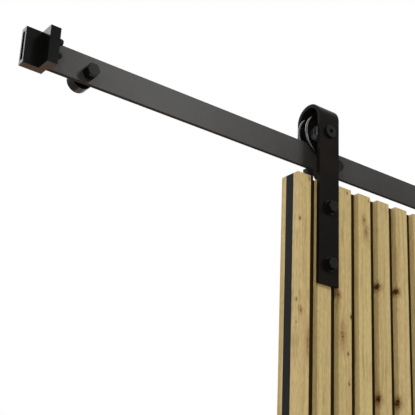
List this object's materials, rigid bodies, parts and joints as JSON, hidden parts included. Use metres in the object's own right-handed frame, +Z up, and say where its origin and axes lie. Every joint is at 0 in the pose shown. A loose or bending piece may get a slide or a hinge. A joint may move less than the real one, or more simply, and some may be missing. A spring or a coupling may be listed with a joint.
{
  "type": "sliding door",
  "caption": "Top-hung sliding barn door: a slatted oak leaf on black strap hangers with grooved wheels that roll along a flat steel rail stood off the wall.",
  "frame": {"origin": "middle wall fixing: the axis of the middle wall bolt at the wall plane", "axes": "+X along the rail, +Y into the wall, +Z up"},
  "size_m": [1.948, 0.0752, 2.2021],
  "materials": {
    "rail_steel": "matte black powder coat",
    "stop_steel": "gloss black enamel",
    "strap_steel": "matte black powder coat",
    "fastener_steel": "satin black",
    "bearing_steel": "ground",
    "wheel_nylon": "gloss black",
    "buffer_rubber": "matte",
    "block_plastic": "matte",
    "oak": "knotty oak, matte oil",
    "core_board": "black-dyed board"
  },
  "bodies": {
    "track": {"rail": "rail_steel", "wall_standoffs": "fastener_steel", "wall_bolts": "fastener_steel", "left_end_stop": "stop_steel", "right_end_stop": "stop_steel", "left_buffer": "buffer_rubber", "right_buffer": "buffer_rubber", "stop_screws": "fastener_steel", "floor_guide": "strap_steel", "floor_guide_screws": "fastener_steel"},
    "door": {"door_core": "core_board", "front_slats": "oak", "back_slats": "oak", "left_strap": "strap_steel", "right_strap": "strap_steel", "left_strap_bolts": "fastener_steel", "right_strap_bolts": "fastener_steel", "left_strap_nuts": "fastener_steel", "right_strap_nuts": "fastener_steel", "left_axle_bolt": "fastener_steel", "right_axle_bolt": "fastener_steel", "left_spacers": "bearing_steel", "right_spacers": "bearing_steel", "left_bearing_inner": "bearing_steel", "right_bearing_inner": "bearing_steel", "left_anti_jump": "block_plastic", "right_anti_jump": "block_plastic", "anti_jump_screws": "bearing_steel"},
    "left_roller": {"left_wheel": "wheel_nylon", "left_bearing_outer": "bearing_steel", "left_bearing_balls": "bearing_steel"},
    "right_roller": {"right_wheel": "wheel_nylon", "right_bearing_outer": "bearing_steel", "right_bearing_balls": "bearing_steel"}
  },
  "joints": [
    {"name": "door_slide", "type": "slide", "parent": "track", "child": "door", "axis": [1, 0, 0], "range_m": [-0.438, 0.5034]},
    {"name": "left_wheel_roll", "type": "hinge", "parent": "door", "child": "left_roller", "pos_m": [-0.4707, -0.029, 0.0435], "axis": [0, 1, 0], "continuous": true},
    {"name": "right_wheel_roll", "type": "hinge", "parent": "door", "child": "right_roller", "pos_m": [0.4053, -0.029, 0.0435], "axis": [0, 1, 0], "continuous": true}
  ],
  "couplings": [
    {"joint": "left_wheel_roll", "follows": "door_slide", "rad_per_m": 54.945},
    {"joint": "right_wheel_roll", "follows": "door_slide", "rad_per_m": 54.945}
  ]
}
